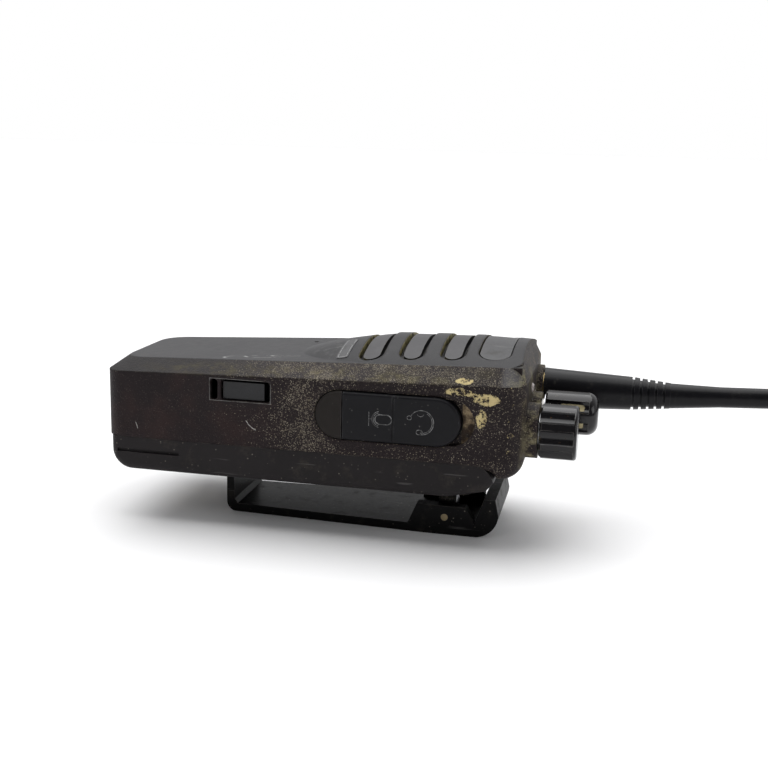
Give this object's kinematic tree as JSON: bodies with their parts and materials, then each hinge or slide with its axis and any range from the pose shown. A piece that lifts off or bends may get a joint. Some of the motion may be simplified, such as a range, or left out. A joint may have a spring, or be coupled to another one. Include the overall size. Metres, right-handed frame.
{
  "type": "portable two-way radio",
  "caption": "Handheld two-way radio with turning deck knobs, flexible antenna, push-to-talk key, folding jack cover, slide-off battery and a sprung belt clip.",
  "frame": {"origin": "under the middle of the whole object, antenna included, on the surface that the belt clip lies on", "axes": "+X along the case towards the antenna, +Z out of the speaker face, -Y the side with the jack cover"},
  "size_m": [0.28, 0.0576, 0.0553],
  "materials": {
    "case_black": "fine-grained textured moulding, worn, with dust in the grain",
    "case_smooth": "smooth satin moulding",
    "plate_black": "smooth satin blank plate",
    "label_dark": "thin printed film, blank",
    "adhesive": "foam adhesive",
    "speaker_cloth": "tight woven acoustic cloth",
    "paper_cone": "coated film cone",
    "steel": "plated steel",
    "aluminium_plain": "plain",
    "cast_chassis": "die-cast, as cast",
    "control_metal": "nickel plated",
    "brass_contact": "dull, slightly tarnished",
    "circuit_board": "green solder mask",
    "chip_black": "moulded epoxy",
    "cell_wrap": "shrink-wrapped cell",
    "clear_lens": "clear light pipe",
    "antenna_rubber": "satin moulded rubber",
    "seal_rubber": "soft seal",
    "cover_rubber": "satin soft cover with pale outline symbols",
    "key_rubber": "satin key",
    "knob_gloss": "glossy, worn, dirt in the flutes",
    "battery_black": "smooth satin moulding",
    "clip_black": "satin to gloss, worn edges"
  },
  "bodies": {
    "radio": {"front_housing": "case_black", "speaker_grille": "case_smooth", "name_plate": "plate_black", "name_plate_adhesive": "adhesive", "model_label": "label_dark", "speaker_cloth": "speaker_cloth", "speaker_frame": "steel", "speaker_cone": "paper_cone", "speaker_magnet": "steel", "microphone_capsule": "aluminium_plain", "microphone_boot": "seal_rubber", "chassis": "cast_chassis", "main_seal": "seal_rubber", "main_board": "circuit_board", "rf_shield": "steel", "board_chips": "chip_black", "board_screws": "steel", "case_screws": "steel", "volume_control": "control_metal", "channel_control": "control_metal", "control_nuts": "steel", "status_light_pipe": "clear_lens", "antenna_socket": "brass_contact", "antenna_stud": "brass_contact", "antenna_core": "brass_contact", "antenna_sleeve": "antenna_rubber", "side_key_membrane": "seal_rubber", "side_key_board": "circuit_board", "key_domes": "steel", "jack_cover_tail": "cover_rubber", "jack_panel": "case_smooth", "jack_block": "chip_black", "jack_contacts": "brass_contact", "contact_block": "chip_black", "spring_contacts": "brass_contact"},
    "volume_dial": {"volume_knob": "knob_gloss", "volume_shaft": "control_metal"},
    "channel_dial": {"channel_knob": "knob_gloss", "channel_shaft": "control_metal"},
    "ptt": {"ptt_button": "key_rubber"},
    "upper_key": {"side_button_upper": "key_rubber"},
    "lower_key": {"side_button_lower": "key_rubber"},
    "jack_flap": {"jack_cover_flap": "cover_rubber"},
    "battery": {"battery_rear_shell": "battery_black", "battery_lid": "battery_black", "battery_terminals": "brass_contact", "battery_cell_1": "cell_wrap", "battery_cell_2": "cell_wrap", "protection_board": "circuit_board", "charging_contacts": "brass_contact", "latch_springs": "steel", "clip_base": "clip_black", "clip_screws": "steel", "clip_pin": "brass_contact", "clip_spring": "steel"},
    "latch": {"battery_latch": "battery_black"},
    "clip": {"clip_arm": "clip_black"}
  },
  "joints": [
    {"name": "volume_turn", "type": "hinge", "parent": "radio", "child": "volume_dial", "pos_m": [-0.01465, -0.0166, 0.0333], "axis": [-1, 0, 0], "range_deg": [0, 270]},
    {"name": "channel_turn", "type": "hinge", "parent": "radio", "child": "channel_dial", "pos_m": [-0.01465, -0.0001, 0.035], "axis": [-1, 0, 0], "range_deg": [0, 337.5]},
    {"name": "ptt_press", "type": "slide", "parent": "radio", "child": "ptt", "axis": [0, -1, 0], "range_m": [0, 0.0008], "stiffness_N_per_m": 4000, "springref_m": -0.0002},
    {"name": "upper_key_press", "type": "slide", "parent": "radio", "child": "upper_key", "axis": [0, -1, 0], "range_m": [0, 0.0005], "stiffness_N_per_m": 3000, "springref_m": -0.0002},
    {"name": "lower_key_press", "type": "slide", "parent": "radio", "child": "lower_key", "axis": [0, -1, 0], "range_m": [0, 0.0005], "stiffness_N_per_m": 3000, "springref_m": -0.0002},
    {"name": "jack_cover_fold", "type": "hinge", "parent": "radio", "child": "jack_flap", "pos_m": [-0.06915, -0.0288, 0.036], "axis": [0, 0, -1], "range_deg": [0, 150], "stiffness_Nm_per_rad": 0.002},
    {"name": "battery_slide", "type": "slide", "parent": "radio", "child": "battery", "axis": [-1, 0, 0], "range_m": [0, 0.013]},
    {"name": "latch_press", "type": "slide", "parent": "battery", "child": "latch", "axis": [0, 0, -1], "range_m": [0, 0.0018], "stiffness_N_per_m": 800, "springref_m": -0.0005, "deforming": ["latch_springs"]},
    {"name": "clip_open", "type": "hinge", "parent": "battery", "child": "clip", "pos_m": [-0.04205, -0.0001, 0.0051], "axis": [0, -1, 0], "range_deg": [0, 9], "stiffness_Nm_per_rad": 1.2, "springref_deg": -6.88, "deforming": ["clip_spring"]}
  ]
}
